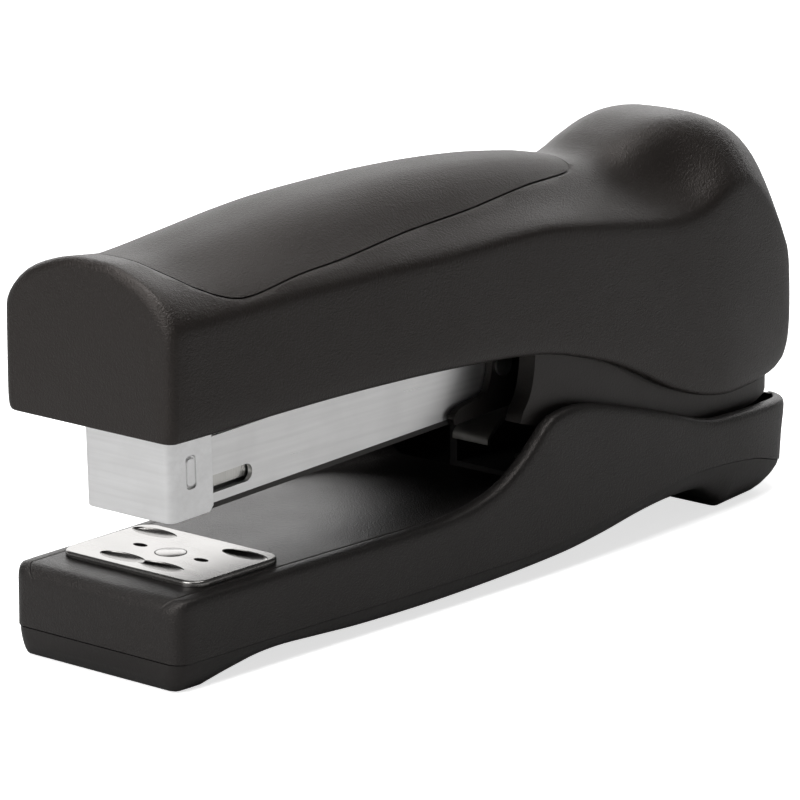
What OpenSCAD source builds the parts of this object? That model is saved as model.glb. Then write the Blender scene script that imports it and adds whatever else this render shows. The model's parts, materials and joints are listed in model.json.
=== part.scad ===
// Desk stapler: hollow base with side wings, swinging magazine, arched handle over both.
// Frame: length along X with the nose at -X, width along Y, height along Z.
// The origin is the middle of the footprint, on the surface that the feet stand on.

/* [Overall] */
// Length from the nose of the handle to its heel
overall_l = 150; // [140:1:180]
// Width of the handle at its widest
handle_w = 35.2; // [33:0.2:43]
// Width of the base at its widest
base_w = 36.4; // [34:0.2:44]
// Height of the handle's underside at the nose
nose_underside = 36.4; // [36:0.2:38]
// Height of the highest point of the handle
crown_z = 62.4; // [60:0.2:75]

/* [Base] */
// Height of the deck that the anvil sits on
deck_z = 13.5; // [12.5:0.1:14.5]
// Thickness of the deck and of the well's floor
deck_t = 2; // [1.6:0.1:3]
// Wall of the base shell and of its wings
base_wall = 2.2; // [1.6:0.1:2.8]
// Height of the floor of the well between the wings
well_z = 9.5; // [9.2:0.1:10]
// Height of the seam between the shell and the sole, under the deck
seam_z = 4.3; // [3.8:0.1:5]
// Set back of the base's front from the handle's nose
base_front = 1; // [0.5:0.5:4]
// Thickness of the sole
sole_t = 1.8; // [1.4:0.1:2.4]

/* [Anvil] */
// Length of the anvil plate along the stapler
anvil_l = 18.6; // [16:0.2:20]
// Width of the anvil plate
anvil_w = 27; // [24:0.2:29]
// Thickness of the anvil plate
anvil_t = 0.9; // [0.7:0.1:1.2]
// Distance from the pivot to each row of crimping grooves
groove_offset = 6; // [5.5:0.1:6.5]
// Radius of the anvil's pivot post
post_r = 1.6; // [1.3:0.1:2]
// How far the anvil lifts before it turns
anvil_lift = 1.5; // [1:0.1:2]

/* [Staples] */
// Outside width of a staple's crown
crown_w = 12.8; // [12:0.1:13.4]
// Length of a staple's legs
leg_l = 6; // [5:0.5:6]
// Thickness of the staple wire
wire_t = 0.6; // [0.5:0.05:0.7]
// Length of the strip of staples
strip_l = 27; // [10:1:27]

/* [Magazine] */
// Thickness of the magazine's sheet steel
sheet = 0.8; // [0.6:0.1:1]
// Thickness of the nose guide's sheet steel
guide_sheet = 0.9; // [0.7:0.1:1.1]
// Length of the steel channel behind the driver's slot
channel_l = 71; // [68:1:76]
// Height of the channel's walls
channel_h = 10.5; // [10:0.1:11]
// Height of the nose guide
guide_h = 12.5; // [11.5:0.1:12.8]
// Set back of the nose guide from the handle's nose
guide_front = 8; // [7:0.5:8]
// Height of the nose guide's lower edge at rest
guide_z = 21.8; // [21:0.1:22.5]
// Slope of the magazine at rest, in degrees, nose down
tilt = 2.05; // [1:0.05:3]
// Space behind the nose guide's front plate for the driver
driver_slot = 2.5; // [2.3:0.1:3]
// Thickness of the driver blade
driver_t = 0.7; // [0.5:0.1:0.9]
// Radius of the pusher's guide rod
rod_r = 1.2; // [1:0.1:1.4]

/* [Hinge] */
// Radius of the hinge pin
pin_r = 2; // [1.6:0.1:2.4]
// Distance from the hinge pin to the heel
heel = 12; // [12:0.5:13]
// Height of the hinge pin
pin_z = 30; // [29:0.5:31]
// Thickness of the hinge bracket's steel
bracket_t = 1.4; // [1:0.1:1.5]
// Thickness of the magazine carrier's steel
carrier_t = 1.2; // [1:0.1:1.4]
// Radius of steel round each pin hole
eye_r = 5; // [4.6:0.1:5.4]

/* [Handle] */
// Wall of the handle cover
cover_wall = 2; // [1.6:0.1:2.4]
// Wall of the handle's inner frame
frame_wall = 1.5; // [1.2:0.1:1.8]
// Height of the underside of the frame's top plate
plate_z = 44.5; // [44:0.1:45.5]
// Thickness of the frame's top plate
plate_t = 2; // [1.5:0.1:2.5]
// Thickness of the grip panel
panel_t = 1.2; // [0.8:0.1:1.4]

/* [Fits] */
// Radial clearance of a pin in a hole that turns on it
running = 0.05; // [0.02:0.01:0.1]
// Gap between parts that pass each other
gap = 0.4; // [0.3:0.05:0.5]

/* [Hidden] */
$fn = 48;
big = 200;
eps = 0.01;

// Places that several pieces share, measured along X from the nose of the handle
pin_x = overall_l - heel;
base_end = overall_l - 1.5;
base_l = base_end - base_front;
anvil_x = guide_front + 8.75;
tip_x = pin_x - 57.7;
well_front = tip_x + 1.2;
bracket_front = pin_x - 47;
bracket_rear = pin_x - 26;

// Widths across the hinge, from the middle outwards
channel_in = crown_w / 2 + 0.3;
channel_out = channel_in + sheet;
guide_out = channel_out + 0.05 + guide_sheet;
carrier_in = channel_out + 0.1;
carrier_out = carrier_in + carrier_t;
bracket_in = carrier_out + gap;
bracket_out = bracket_in + bracket_t;

// The magazine's own frame: x from the guide's front plate, z from its lower edge
slot_x = guide_sheet + driver_slot;
channel_end = slot_x + channel_l;
pin_in_mag = [
    (pin_x - guide_front) * cos(tilt) + (pin_z - guide_z) * sin(tilt),
    (pin_z - guide_z) * cos(tilt) - (pin_x - guide_front) * sin(tilt)
];
rail_out = crown_w / 2 - wire_t - 0.1;
rail_top = 8;
rail_slot = 3.4;
rod_z = 4.2;
pusher_l = 11;
pusher_x = slot_x + strip_l + 0.3;
strip_bottom = rail_top + 0.1 + wire_t - leg_l;

// Smooth curves: a row of values for each station, joined without corners
function slope(p, i) =
    i == 0 ? (p[1] - p[0]) / (p[1][0] - p[0][0]) :
    i == len(p) - 1 ? (p[i] - p[i - 1]) / (p[i][0] - p[i - 1][0]) :
    (p[i + 1] - p[i - 1]) / (p[i + 1][0] - p[i - 1][0]);
function span_of(p, x, i = 0) = (i >= len(p) - 2 || x <= p[i + 1][0]) ? i : span_of(p, x, i + 1);
function blend(p, i, t, h) =
    (2 * pow(t, 3) - 3 * pow(t, 2) + 1) * p[i] + (pow(t, 3) - 2 * pow(t, 2) + t) * h * slope(p, i)
    + (3 * pow(t, 2) - 2 * pow(t, 3)) * p[i + 1] + (pow(t, 3) - pow(t, 2)) * h * slope(p, i + 1);
function row_at(p, x) =
    let (i = span_of(p, x), h = p[i + 1][0] - p[i][0]) blend(p, i, (x - p[i][0]) / h, h);
function curve(p, from, to, steps) =
    [for (k = [0:steps]) let (x = from + (to - from) * k / steps) [x, row_at(p, x)[1]]];
function round_end(x, r) = x >= r ? 0 : r - sqrt(r * r - pow(r - x, 2));

// Handle ribs: share of the length, share of the half width, underside below the nose's,
// height where the sides start to arch, crown below the highest point, fullness of the arch
handle_ribs = [
    [0.000, 0.950, 0.0, 46.0, 3.6, 2.8],
    [0.070, 0.955, 0.0, 46.0, 3.0, 2.7],
    [0.175, 0.970, 0.0, 46.5, 1.6, 2.6],
    [0.310, 0.990, 0.2, 47.5, 0.6, 2.6],
    [0.445, 1.000, 1.4, 48.5, 0.5, 2.6],
    [0.545, 1.000, 2.7, 49.5, 1.4, 2.5],
    [0.625, 0.990, 5.6, 50.0, 2.5, 2.2],
    [0.680, 0.980, 9.0, 50.0, 3.5, 1.8],
    [0.725, 0.970, 12.0, 50.0, 2.4, 1.5],
    [0.770, 0.955, 15.2, 50.0, 0.5, 1.4],
    [0.820, 0.935, 17.2, 49.0, 0.0, 1.4],
    [0.880, 0.895, 17.6, 45.0, 1.6, 1.6],
    [0.930, 0.840, 16.4, 39.0, 5.6, 2.0],
    [0.970, 0.740, 15.2, 33.0, 13.0, 2.2],
    [1.000, 0.600, 13.6, 28.0, 25.0, 2.2]
];
nose_round = 1.6;
heel_round = 5;
arch_steps = 20;
rib_steps = 46;

// Half width, underside, arch start, crown and fullness of the handle at x, moved in by inset
function handle_section(x, inset) =
    let (
        r = row_at(handle_ribs, min(1, max(0, x / overall_l))),
        pulled = round_end(x, nose_round) + round_end(overall_l - x, heel_round)
    )
    [r[1] * handle_w / 2 - pulled - inset, nose_underside - r[2], r[3],
        crown_z - r[4] - pulled - inset, r[5]];
function arch_point(s, a) = [
    s[0] * sign(sin(a)) * pow(abs(sin(a)), 2 / s[4]),
    s[2] + (s[3] - s[2]) * pow(abs(cos(a)), 2 / s[4])
];
function handle_ring(x, inset, drop) =
    let (s = handle_section(x, inset))
    concat(
        [[x, -s[0], s[1] - drop]],
        [for (k = [0:arch_steps]) let (p = arch_point(s, -90 + 180 * k / arch_steps)) [x, p[0], p[1]]],
        [[x, s[0], s[1] - drop]]
    );
// Stations bunch up towards both ends, where the shape turns quickly
function station(k, inset) = inset + (overall_l - 2 * inset) * (1 - cos(180 * k / rib_steps)) / 2;

module from_nose(x = 0, z = 0) {
    translate([x - overall_l / 2, 0, z])
        children();
}

module in_magazine(x = 0, z = 0) {
    from_nose(guide_front, guide_z)
        rotate([0, -tilt, 0])
            translate([x, 0, z])
                children();
}

module across(w) {
    rotate([90, 0, 0])
        linear_extrude(w, center = true)
            children();
}

module on_both_sides() {
    children();
    mirror([0, 1, 0])
        children();
}

module side_plate(inner, outer) {
    on_both_sides()
        translate([0, (inner + outer) / 2, 0])
            across(outer - inner)
                children();
}

module cross_pin(r, l) {
    rotate([90, 0, 0])
        cylinder(r = r, h = l, center = true);
}

module handle_body(inset, drop) {
    rings = [for (k = [0:rib_steps]) handle_ring(station(k, inset), inset, drop)];
    m = len(rings[0]);
    points = [for (ring = rings) for (p = ring) p];
    skin = [for (k = [0:rib_steps - 1]) for (j = [0:m - 1]) for (half = [0, 1])
        let (a = k * m + j, b = k * m + (j + 1) % m)
        half == 0 ? [a, b, a + m] : [b, b + m, a + m]];
    ends = [[for (j = [m - 1:-1:0]) j], [for (j = [0:m - 1]) rib_steps * m + j]];
    from_nose()
        polyhedron(points, concat(skin, ends), convexity = 6);
}

// Flat coil: turns of wire round the Z axis, from z = 0 up to the free length
module coil(radius, wire_r, length, turns, steps, sides = 6) {
    rings = [for (k = [0:turns * steps])
        let (a = 360 * k / steps, z = wire_r + (length - 2 * wire_r) * k / (turns * steps))
        [for (j = [0:sides - 1])
            let (b = 360 * j / sides, r = radius + wire_r * cos(b))
            [r * cos(a), r * sin(a), z + wire_r * sin(b)]]];
    n = turns * steps;
    points = [for (ring = rings) for (p = ring) p];
    skin = [for (k = [0:n - 1]) for (j = [0:sides - 1]) for (half = [0, 1])
        let (a = k * sides + j, b = k * sides + (j + 1) % sides)
        half == 0 ? [a, a + sides, b] : [b, a + sides, b + sides]];
    ends = [[for (j = [0:sides - 1]) j], [for (j = [sides - 1:-1:0]) n * sides + j]];
    polyhedron(points, concat(skin, ends), convexity = 10);
}

// Screw that points up: a round head below its shank
module screw(shank_r, head_r, shank_l, head_h) {
    cylinder(r = head_r, h = head_h);
    translate([0, 0, head_h - eps])
        cylinder(r = shank_r, h = shank_l + eps);
}

// ---- Base ----

// Half width of the base at each share of its length
base_plan = [[0, 0.86], [0.08, 0.885], [0.17, 0.92], [0.33, 0.965], [0.5, 0.995], [0.62, 1],
    [0.76, 0.985], [0.86, 0.945], [0.93, 0.875], [1, 0.74]];
base_corner = 3;
base_tail = 7;

// Top edge of the side wings, x from the nose
wing_edge = [[tip_x - 40, deck_z], [tip_x - 21, deck_z], [tip_x - 13, deck_z + 1.4],
    [tip_x - 8, deck_z + 3.7], [tip_x - 3.6, deck_z + 7], [tip_x, deck_z + 11],
    [tip_x + 6, deck_z + 11.4], [tip_x + 15, deck_z + 9.8], [tip_x + 29, deck_z + 5.6],
    [tip_x + 40, deck_z + 2.4], [tip_x + 52, deck_z + 1.2], [base_end, deck_z + 0.6]];
// Seam between the shell and the sole
// The shell and the sole meet along the same straight steps of the seam
seam_steps = 40;
seam_line = [[base_front, seam_z], [tip_x - 5, seam_z], [tip_x + 14, seam_z + 1.8],
    [tip_x + 38, seam_z + 4.2], [tip_x + 52, seam_z + 3], [base_end, seam_z + 0.4]];
// Underside of the sole, from the front foot to where the rear foot starts
sole_line = [[base_front, 0.6], [base_front + 3, 0], [base_front + 9, 0], [base_front + 22, 1.6],
    [tip_x - 20, 1.6], [tip_x + 6, 2], [tip_x + 20, 3.6], [tip_x + 32, 5.4], [tip_x + 38, 5.6],
    [tip_x + 52, 4.8], [base_end, 3.4]];
rear_foot_x = pin_x - 12;
rear_foot_l = 17;
screw_head_h = 1.4;
sole_screw_xs = [base_front + 34, bracket_front - 4];
bracket_screw_xs = [bracket_front + 5, bracket_rear - 3];

function base_half(x) =
    let (u = (x - base_front) / base_l)
    row_at(base_plan, u)[1] * base_w / 2 - round_end(x - base_front, base_corner)
    - round_end(base_end - x, base_tail);
function plan_xs(inset) = [for (k = [0:60])
    base_front + inset + (base_l - 2 * inset) * (1 - cos(3 * k)) / 2];

module base_outline(inset) {
    xs = plan_xs(inset);
    polygon(concat(
        [for (x = xs) [x, inset - base_half(x)]],
        [for (k = [len(xs) - 1:-1:0]) [xs[k], base_half(xs[k]) - inset]]
    ));
}

module base_prism(inset) {
    from_nose(0, -1)
        linear_extrude(big / 2)
            base_outline(inset);
}

module below_wings() {
    from_nose()
        across(big)
            polygon(concat(
                curve(seam_line, base_front - 2, base_end + 2, seam_steps),
                [for (x = [base_end + 2, base_end]) [x, deck_z + 0.6]],
                [for (k = [40:-1:1]) let (x = tip_x - 40 + (base_end - tip_x + 40) * k / 41)
                    [x, row_at(wing_edge, x)[1]]],
                [[tip_x - 40, deck_z], [base_front - 2, deck_z]]
            ));
}

module base_shell() color("#2b2a29") {
    difference() {
        intersection() {
            base_prism(0);
            below_wings();
        }
        // Between the wings, over the deck
        intersection() {
            base_prism(base_wall);
            from_nose(tip_x - 39, deck_z)
                translate([0, -big / 2, 0])
                    cube([big, big, big]);
        }
        // The deeper well for the bracket and the handle's heel
        intersection() {
            base_prism(base_wall);
            from_nose(well_front, well_z)
                translate([0, -big / 2, 0])
                    cube([big, big, big]);
        }
        // Hollow under the deck and under the well
        difference() {
            intersection() {
                base_prism(base_wall);
                from_nose(0, -1)
                    translate([0, -big / 2, 0])
                        cube([well_front - deck_t, big, deck_z - deck_t + 1]);
            }
            from_nose(anvil_x)
                cylinder(r = post_r + 2.4, h = deck_z);
            for (x = sole_screw_xs)
                from_nose(x)
                    cylinder(r = 3, h = deck_z);
        }
        intersection() {
            base_prism(base_wall);
            from_nose(well_front - deck_t, -1)
                translate([0, -big / 2, 0])
                    cube([big, big, well_z - deck_t + 1]);
        }
        // Clears the anvil's spring below its guide
        from_nose(anvil_x, -1)
            cylinder(r = post_r + 3, h = deck_z - 5);
        from_nose(anvil_x)
            cylinder(r = post_r + running, h = big);
        for (x = sole_screw_xs)
            from_nose(x, -1)
                cylinder(r = 1.2 + running, h = deck_z - deck_t);
        for (x = bracket_screw_xs) {
            from_nose(x)
                cylinder(r = 1.4 + running, h = big);
            from_nose(x)
                cylinder(r = 2.6, h = well_z - deck_t + 0.8);
        }
    }
}

module sole_side(drop, top_drop) {
    from_nose()
        across(big)
            polygon(concat(
                [for (p = curve(sole_line, base_front - 2, base_end + 2, seam_steps))
                    [p[0], max(0, p[1]) + drop]],
                [for (k = [seam_steps:-1:0]) let (x = base_front - 2 + (base_l + 4) * k / seam_steps)
                    [x, row_at(seam_line, x)[1] - top_drop]]
            ));
}

module base_sole() color("#222120") {
    difference() {
        union() {
            intersection() {
                base_prism(0.3);
                sole_side(0, 0.05);
            }
            intersection() {
                base_prism(1.2);
                from_nose(rear_foot_x)
                    across(big)
                        polygon([[-7, 6], [0, 0], [rear_foot_l, 0], [rear_foot_l + 2.5, 3.2],
                            [rear_foot_l, 4.4], [0, 6.4]]);
            }
        }
        intersection() {
            base_prism(base_wall + 1.4);
            sole_side(sole_t, -1);
            from_nose(-5, -1)
                translate([0, -big / 2, 0])
                    cube([rear_foot_x - 6, big, big]);
        }
        for (x = sole_screw_xs)
            from_nose(x, -1) {
                cylinder(r = 1.2 + running, h = 9);
                cylinder(r = 2.6, h = 1 + row_at(sole_line, x)[1] + screw_head_h);
            }
        from_nose(anvil_x, -1)
            cylinder(r = post_r + 3.3, h = 9);
        for (x = bracket_screw_xs)
            from_nose(x, well_z - deck_t - 1)
                cylinder(r = 3, h = 9);
    }
}

module sole_screws() color("#8c8c8c") {
    for (x = sole_screw_xs)
        from_nose(x, row_at(sole_line, x)[1] + 0.05)
            screw(1.2, 2.3, 6.5, screw_head_h - 0.1);
}

// ---- Hinge ----

module bracket_side() {
    difference() {
        union() {
            polygon([[bracket_front, well_z], [bracket_rear, well_z], [pin_x - 19.5, 15],
                [pin_x - 12.5, 21.5], [pin_x - 6.5, 26.5], [pin_x, pin_z - eye_r + 1],
                [pin_x, pin_z + eye_r - 1], [pin_x - 16, 30], [bracket_front + 8, 24],
                [bracket_front, 19]]);
            translate([pin_x, pin_z])
                circle(r = eye_r);
        }
        translate([pin_x, pin_z])
            circle(r = pin_r + 0.01);
    }
}

module hinge_bracket() color("#3a3a3a") {
    difference() {
        union() {
            from_nose()
                side_plate(bracket_in, bracket_out)
                    bracket_side();
            from_nose(bracket_front, well_z)
                translate([0, -bracket_out, 0])
                    cube([bracket_rear - bracket_front, 2 * bracket_out, bracket_t]);
        }
        for (x = bracket_screw_xs)
            from_nose(x)
                cylinder(r = 1.4 + running, h = big);
    }
}

module bracket_screws() color("#8c8c8c") {
    for (x = bracket_screw_xs)
        from_nose(x, well_z - deck_t - screw_head_h + 0.8)
            screw(1.4, 2.4, deck_t + bracket_t + 0.8, screw_head_h);
}

module hinge_pin() color("#9a9a9a") {
    from_nose(pin_x, pin_z)
        difference() {
            cross_pin(pin_r, 2 * frame_outer(pin_x) - 0.4);
            on_both_sides()
                translate([0, frame_outer(pin_x) + 0.3, 0])
                    sphere(r = 0.9);
        }
}

// Arched steel leaf: its rear end is held under the bracket screw, its front end hangs free
module lift_spring() color("#56554f") {
    crest_x = pin_x - 43;
    crest_z = guide_z + (crest_x - guide_front) * tan(tilt) + sheet - gap;
    tail_x = bracket_rear - 0.5;
    leaf_t = 0.7;
    base_z = well_z + bracket_t + leaf_t / 2 + 0.05;
    leaf = [[tip_x + 3.3, crest_z - 6.4], [tip_x + 5.6, crest_z - 5.6], [crest_x - 5, crest_z - 2.2],
        [crest_x, crest_z - leaf_t / 2], [crest_x + 4, crest_z - 2.6], [crest_x + 8, base_z + 5],
        [crest_x + 10.5, base_z + 1.2], [crest_x + 12.5, base_z], [tail_x, base_z]];
    upper = [for (p = curve(leaf, tip_x + 3.3, tail_x, 44)) [p[0], max(p[1], base_z)]];
    from_nose()
        difference() {
            across(7)
                polygon(concat(
                    [for (p = upper) p + [0, leaf_t / 2]],
                    [for (k = [len(upper) - 1:-1:0]) upper[k] - [0, leaf_t / 2]],
                    [[tip_x + 3.3, crest_z - 8], [tip_x + 2.6, crest_z - 8], [tip_x + 2.6, crest_z - 6.4]]
                ));
            translate([bracket_rear - 3, 0, 0])
                cylinder(r = 1.4 + running, h = big);
        }
}

// ---- Anvil ----

plate_bottom = deck_z + 0.2;
groove_depth = 0.55;
groove_width_r = 1.6;

// Bowl pressed into the plate, where one leg of the staple curls
module crimp_bowl() {
    intersection() {
        translate([-groove_width_r, -3.9, -1])
            cube([2 * groove_width_r, 7.8, 2]);
        translate([0, 0, 13 - groove_depth])
            rotate([0, 90, 0])
                cylinder(r = 13, h = 2 * groove_width_r, center = true, $fn = 96);
    }
}

module anvil_plate() color("#d9d9d6") {
    skirt_r = 2;
    from_nose(anvil_x, plate_bottom)
        difference() {
            union() {
                translate([-anvil_l / 2 + skirt_r, -anvil_w / 2, 0])
                    cube([anvil_l - 2 * skirt_r, anvil_w, anvil_t]);
                translate([-anvil_l / 2, -anvil_w / 2 + skirt_r, 0])
                    cube([anvil_l, anvil_w - 2 * skirt_r, anvil_t]);
                for (sx = [-1, 1], sy = [-1, 1])
                    translate([sx * (anvil_l / 2 - skirt_r), sy * (anvil_w / 2 - skirt_r), 0])
                        cylinder(r = skirt_r, h = anvil_t);
            }
            for (sy = [-1, 1]) {
                translate([-groove_offset, sy * 3.8, anvil_t])
                    crimp_bowl();
                translate([groove_offset, sy * 8.6, anvil_t])
                    crimp_bowl();
                translate([0, sy * 5.9, -1])
                    cylinder(r = 0.9, h = 3);
            }
            translate([0, 0, -1])
                cylinder(r = post_r + 0.01, h = 3);
        }
}

button_z = 1.4;
button_t = 1.6;

module anvil_rivet() color("#cfcfcc") {
    from_nose(anvil_x, plate_bottom + anvil_t)
        cylinder(r = post_r + 0.7, h = 0.35);
    from_nose(anvil_x, button_z - 0.6) {
        cylinder(r = post_r, h = plate_bottom + anvil_t - button_z + 0.7);
        cylinder(r = post_r + 0.8, h = 0.55);
    }
}

module anvil_button() color("#1f1f1f") {
    from_nose(anvil_x, button_z)
        difference() {
            union() {
                cylinder(r = post_r + 2.8, h = button_t);
                // Hub, tall enough to keep the spring centred through the lift
                cylinder(r = post_r + 1, h = button_t + anvil_lift + 0.5);
            }
            translate([0, 0, -1])
                cylinder(r = post_r + running, h = 9);
        }
}

module anvil_spring() color("#b0b0b0") {
    from_nose(anvil_x, button_z + button_t)
        coil(post_r + 1.9, 0.3, deck_z - 6 - button_z - button_t, 4, 16);
}

// ---- Magazine ----

module magazine_channel() color("#d5d6d4") {
    end_round = 4;
    window_x = 13.3;
    window_z = 3.5;
    window_r = 1.3;
    in_magazine(slot_x)
        difference() {
            across(2 * channel_out)
                difference() {
                    translate([0, sheet])
                        square([channel_l, channel_h - sheet]);
                    // Rounded lower rear corner
                    difference() {
                        translate([channel_l - end_round, 0])
                            square(end_round + 1);
                        translate([channel_l - end_round, sheet + end_round])
                            circle(r = end_round);
                    }
                    // Slot that shows how many staples are left
                    translate([window_x, window_z])
                        circle(r = window_r);
                    translate([-1, window_z - window_r])
                        square([window_x + 1, 2 * window_r]);
                }
            translate([-1, -channel_in, 2 * sheet])
                cube([channel_l + 2, 2 * channel_in, big]);
        }
}

module bottom_strip() color("#4d4c4a") {
    in_magazine(slot_x)
        translate([0, -channel_out, 0])
            cube([channel_l - 6, 2 * channel_out, sheet]);
}

module nose_guide() color("#d9dad8") {
    guide_l = 8.7;
    corner = 1.3;
    in_magazine()
        difference() {
            union() {
                translate([corner, -guide_out, 0])
                    cube([guide_l - corner, 2 * guide_out, guide_h]);
                translate([0, corner - guide_out, 0])
                    cube([guide_l - corner, 2 * guide_out - 2 * corner, guide_h]);
                for (sy = [-1, 1])
                    translate([corner, sy * (guide_out - corner), 0])
                        cylinder(r = corner, h = guide_h);
                // Pressed boss on each side that locates the channel
                on_both_sides()
                    translate([3.6, guide_out - 0.1, 4.6])
                        cube([1.6, 0.35, 4.2]);
            }
            translate([guide_sheet, guide_sheet - guide_out, -1])
                cube([guide_l, 2 * (guide_out - guide_sheet), guide_h + 2]);
            // Chamfer at the lower rear corner of each side
            translate([guide_l, 0, 0])
                rotate([0, 45, 0])
                    cube([0.9, big, 0.9], center = true);
        }
}

module staple_rail() color("#bfc0be") {
    in_magazine(slot_x)
        difference() {
            translate([0, -rail_out, 2 * sheet])
                cube([channel_l - 3, 2 * rail_out, rail_top - 2 * sheet]);
            translate([sheet, sheet - rail_out, 0])
                cube([channel_l, 2 * (rail_out - sheet), rail_top - sheet]);
            translate([2, -rail_slot / 2, 0])
                cube([channel_l, rail_slot, big]);
        }
}

module staple_strip() color("#c9c6bd") {
    in_magazine(slot_x + 0.1)
        difference() {
            translate([0, -crown_w / 2, strip_bottom])
                cube([strip_l, crown_w, rail_top + 0.1 + wire_t - strip_bottom]);
            translate([-1, wire_t - crown_w / 2, 0])
                cube([strip_l + 2, crown_w - 2 * wire_t, rail_top + 0.1]);
        }
}

module guide_rod() color("#a9a9a9") {
    in_magazine(slot_x + sheet, rod_z)
        rotate([0, 90, 0])
            cylinder(r = rod_r, h = channel_l - 3 - sheet);
}

module rod_stop() color("#3c3c3c") {
    in_magazine(slot_x + channel_l - 6, 2 * sheet)
        difference() {
            union() {
                translate([0, 0.2 + sheet - rail_out, 0])
                    cube([3, 2 * (rail_out - sheet) - 0.4, rail_top - 3 * sheet - 0.2]);
                translate([0, 0.2 - rail_slot / 2, 0])
                    cube([3, rail_slot - 0.4, rail_top - 2 * sheet + 1]);
            }
            translate([-1, 0, rod_z - 2 * sheet])
                rotate([0, 90, 0])
                    cylinder(r = rod_r + 0.01, h = 9);
        }
}

module pusher() color("#2d2d2f") {
    in_magazine(pusher_x)
        difference() {
            union() {
                translate([0, -rail_out - 0.1 - wire_t + 0.2, strip_bottom + 0.4])
                    cube([pusher_l, 2 * (rail_out + wire_t - 0.1), rail_top + 1.6 - strip_bottom - 0.4]);
            }
            translate([-1, -rail_out - 0.15, 0])
                cube([pusher_l + 2, 2 * rail_out + 0.3, rail_top + 0.15]);
        }
    in_magazine(pusher_x)
        difference() {
            union() {
                translate([0, 0.3 - rail_slot / 2, rod_z])
                    cube([pusher_l, rail_slot - 0.6, rail_top + 1 - rod_z]);
                translate([0, 0.4 + sheet - rail_out, 2 * sheet + 0.3])
                    cube([pusher_l, 2 * (rail_out - sheet) - 0.8, rail_top - 3 * sheet - 0.7]);
            }
            translate([-1, 0, rod_z])
                rotate([0, 90, 0])
                    cylinder(r = rod_r + running, h = pusher_l + 2);
        }
}

module pusher_spring() color("#b5b5b5") {
    spring_x = pusher_x + pusher_l + 0.1;
    spring_l = slot_x + channel_l - 6.1 - spring_x;
    in_magazine(spring_x, rod_z)
        rotate([0, 90, 0])
            coil(rod_r + 0.65, 0.22, spring_l, 12, 12);
}

module magazine_carrier() color("#2f2f30") {
    lead_in = 4;
    front = channel_end - lead_in;
    flat_end = pin_in_mag[0] - 13;
    in_magazine()
        difference() {
            union() {
                side_plate(carrier_in, carrier_out)
                    union() {
                        polygon([[front, 4.4], [front + 3, sheet], [flat_end, sheet],
                            [pin_in_mag[0], pin_in_mag[1] - eye_r + 1.4],
                            [pin_in_mag[0], pin_in_mag[1] + eye_r - 1.4],
                            [flat_end - 6, channel_h], [front, channel_h]]);
                        translate(pin_in_mag)
                            circle(r = eye_r);
                    }
                translate([channel_end + 0.2, 0.1 - carrier_out, sheet])
                    cube([flat_end - channel_end - 2.2, 2 * carrier_out - 0.2, carrier_t]);
            }
            translate([pin_in_mag[0], 0, pin_in_mag[1]])
                cross_pin(pin_r + running, big);
            translate([channel_end - 2, 0, 7])
                cross_pin(1.1 + running, big);
        }
}

module carrier_rivets() color("#8f8f8f") {
    in_magazine(channel_end - 2, 7)
        on_both_sides()
            translate([0, carrier_out, 0])
                rotate([90, 0, 0]) {
                    cylinder(r = 1.1, h = carrier_out - channel_in - sheet);
                    translate([0, 0, -0.35])
                        cylinder(r = 1.8, h = 0.35);
                }
}

// ---- Handle ----

frame_back = overall_l - cover_wall - 3;
frame_front = tip_x - 3;
frame_edge = [[frame_front, 24.4], [tip_x + 1.4, 22.4], [tip_x + 8, 21.2], [tip_x + 20, 18],
    [tip_x + 34, 13.6], [tip_x + 44, 13.2], [pin_x, 14.4], [frame_back, 17.4]];
frame_top = 40;
post_xs = [34, tip_x + 16];

// Outside half width of the frame's walls, a little inside the cover
function frame_outer(x) = handle_section(x, cover_wall)[0] - 0.3;

module frame_outline(inset) {
    xs = [for (k = [0:40]) frame_front + (frame_back - inset - frame_front) * sin(90 * k / 40)];
    polygon(concat(
        [for (x = xs) [x, inset - frame_outer(x + inset)]],
        [for (k = [40:-1:0]) [xs[k], frame_outer(xs[k] + inset) - inset]]
    ));
}

// Boss that hangs from the cover's ceiling and takes a screw through the frame's plate
module cover_post(x) {
    foot_z = plate_z + plate_t + 0.05;
    from_nose(x, foot_z)
        difference() {
            cylinder(r = 3, h = handle_section(x, cover_wall / 2)[3] - 0.6 - foot_z, $fn = 24);
            translate([0, 0, -1])
                cylinder(r = 1.32, h = 7, $fn = 24);
        }
}

// Region of the grip panel, seen from the side: everything above its seam
module panel_zone(shrink) {
    seam = [[6.5, 60], [12, 56.2], [18, 52.6], [23, 51.2], [28, 51.6], [40, 53.2], [60, 55.2],
        [80, 56.8], [100, 57.8], [108, 58.2]];
    x_scale = (overall_l - heel) / 138;
    from_nose()
        across(big)
            polygon(concat(
                [for (p = curve(seam, 6.5, 108, 40)) [p[0] * x_scale, p[1] + shrink]],
                [[108.5 * x_scale - shrink, 90], [6.5 * x_scale + shrink, 90]]
            ));
}

module handle_cover() color("#383634") {
    difference() {
        union() {
            difference() {
                handle_body(0, 0);
                handle_body(cover_wall, 3);
            }
            for (x = post_xs)
                cover_post(x);
        }
        difference() {
            panel_zone(0);
            handle_body(panel_t, 3);
        }
    }
}

module grip_panel() color("#3f3d3b") {
    intersection() {
        difference() {
            handle_body(0.05, 0);
            handle_body(panel_t - 0.05, 3);
        }
        panel_zone(0.2);
    }
}

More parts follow.
